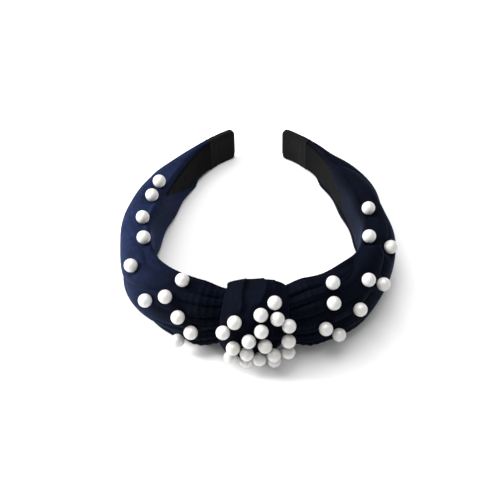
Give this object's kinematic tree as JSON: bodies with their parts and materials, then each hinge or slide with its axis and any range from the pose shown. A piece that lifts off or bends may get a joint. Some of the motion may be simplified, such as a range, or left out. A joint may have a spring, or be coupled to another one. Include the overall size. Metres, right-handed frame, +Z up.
{
  "type": "knotted headband",
  "caption": "Wide knotted velvet headband on a springy open hoop, ribbon lined inside, with pearl beads scattered over its outer side.",
  "frame": {"origin": "centre of the head opening, on the table plane the band rests on", "axes": "+Z up out of the table, +Y from the knot towards the open tips, +X to the wearer's one side; the hoop's plane is tipped 4.33 degrees about X because the knot is taller than the tips"},
  "size_m": [0.163, 0.185, 0.0513],
  "materials": {
    "navy_velvet": "short-pile velvet with a pale sheen at grazing angles",
    "ribbon": "finely ribbed woven ribbon",
    "tip_cloth": "plain matt cloth",
    "hoop_plastic": "moulded, hidden",
    "padding": "soft open foam, hidden",
    "pearl": "pearlescent coating",
    "rivet": "plain wire, hidden",
    "thread": "doubled sewing thread"
  },
  "bodies": {
    "crown": {"centre_hoop": "hoop_plastic", "centre_padding": "padding", "centre_velvet": "navy_velvet", "centre_lining": "ribbon", "knot_velvet": "navy_velvet", "knot_padding": "padding", "loop_stitches": "thread", "knot_pearls": "pearl", "knot_rivets": "rivet"},
    "left_arm": {"left_hoop": "hoop_plastic", "left_padding": "padding", "left_velvet": "navy_velvet", "left_lining": "ribbon", "left_tip_wrap": "tip_cloth", "left_pearls": "pearl", "left_rivets": "rivet"},
    "right_arm": {"right_hoop": "hoop_plastic", "right_padding": "padding", "right_velvet": "navy_velvet", "right_lining": "ribbon", "right_tip_wrap": "tip_cloth", "right_pearls": "pearl", "right_rivets": "rivet"}
  },
  "joints": [
    {"name": "left_arm_flex", "type": "hinge", "parent": "crown", "child": "left_arm", "pos_m": [-0.02427, -0.07196, 0.02264], "axis": [0, 0.0754, 0.9972], "range_deg": [-4, 18], "stiffness_Nm_per_rad": 0.6},
    {"name": "right_arm_flex", "type": "hinge", "parent": "crown", "child": "right_arm", "pos_m": [0.02427, -0.07196, 0.02264], "axis": [0, -0.0754, -0.9972], "range_deg": [-4, 18], "stiffness_Nm_per_rad": 0.6}
  ]
}
